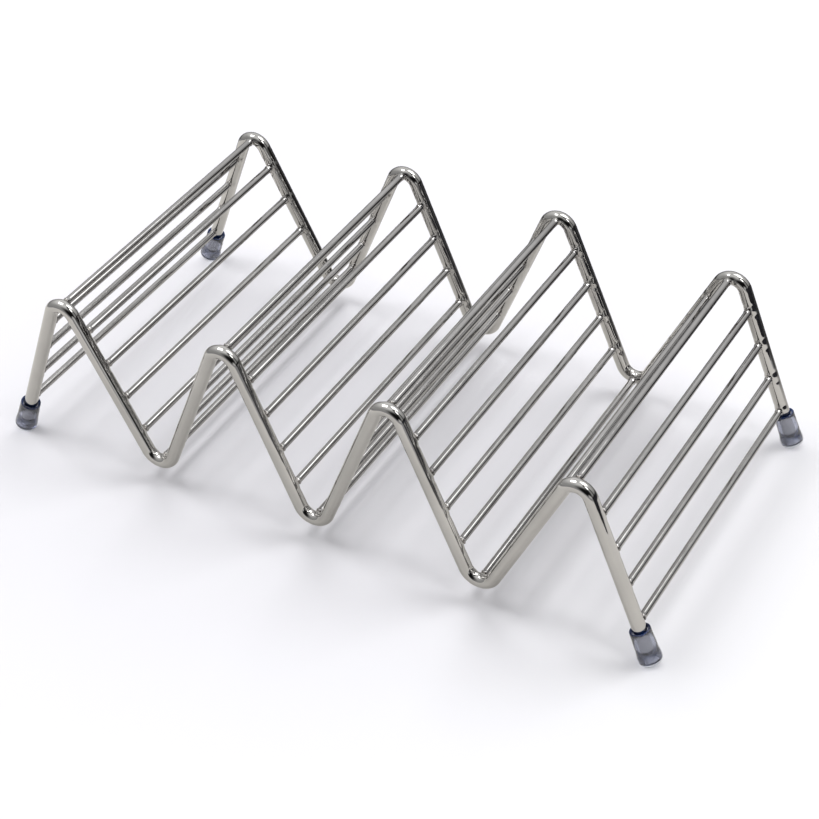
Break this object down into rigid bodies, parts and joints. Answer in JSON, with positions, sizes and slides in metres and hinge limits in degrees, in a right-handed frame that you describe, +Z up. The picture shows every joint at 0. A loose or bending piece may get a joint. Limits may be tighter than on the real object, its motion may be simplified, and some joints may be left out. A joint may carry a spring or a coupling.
{
  "type": "toast rack",
  "caption": "Zigzag rack of polished wire: two bent rails joined by cross wires, standing on soft foot caps, with upright slots for toast or tacos.",
  "frame": {"origin": "centre of the rack on the surface that its foot caps rest on", "axes": "+X along the two rails, +Y from the front rail to the back rail, +Z up"},
  "size_m": [0.2156, 0.1068, 0.0591],
  "materials": {
    "steel": "polished round stainless steel wire, warm grey",
    "vinyl": "smooth translucent blue-grey soft vinyl"
  },
  "bodies": {
    "root": {"rail_front": "steel", "rail_back": "steel", "peak_wire_1": "steel", "peak_wire_2": "steel", "peak_wire_3": "steel", "peak_wire_4": "steel", "valley_wire_1": "steel", "valley_wire_2": "steel", "valley_wire_3": "steel", "limb_1_wire_1": "steel", "limb_1_wire_2": "steel", "limb_1_wire_3": "steel", "limb_1_wire_4": "steel", "limb_2_wire_1": "steel", "limb_2_wire_2": "steel", "limb_2_wire_3": "steel", "limb_2_wire_4": "steel", "limb_3_wire_1": "steel", "limb_3_wire_2": "steel", "limb_3_wire_3": "steel", "limb_3_wire_4": "steel", "limb_4_wire_1": "steel", "limb_4_wire_2": "steel", "limb_4_wire_3": "steel", "limb_4_wire_4": "steel", "limb_5_wire_1": "steel", "limb_5_wire_2": "steel", "limb_5_wire_3": "steel", "limb_5_wire_4": "steel", "limb_6_wire_1": "steel", "limb_6_wire_2": "steel", "limb_6_wire_3": "steel", "limb_6_wire_4": "steel", "limb_7_wire_1": "steel", "limb_7_wire_2": "steel", "limb_7_wire_3": "steel", "limb_7_wire_4": "steel", "limb_8_wire_1": "steel", "limb_8_wire_2": "steel", "limb_8_wire_3": "steel", "limb_8_wire_4": "steel", "foot_cap_front_left": "vinyl", "foot_cap_front_right": "vinyl", "foot_cap_back_left": "vinyl", "foot_cap_back_right": "vinyl"}
  },
  "joints": []
}
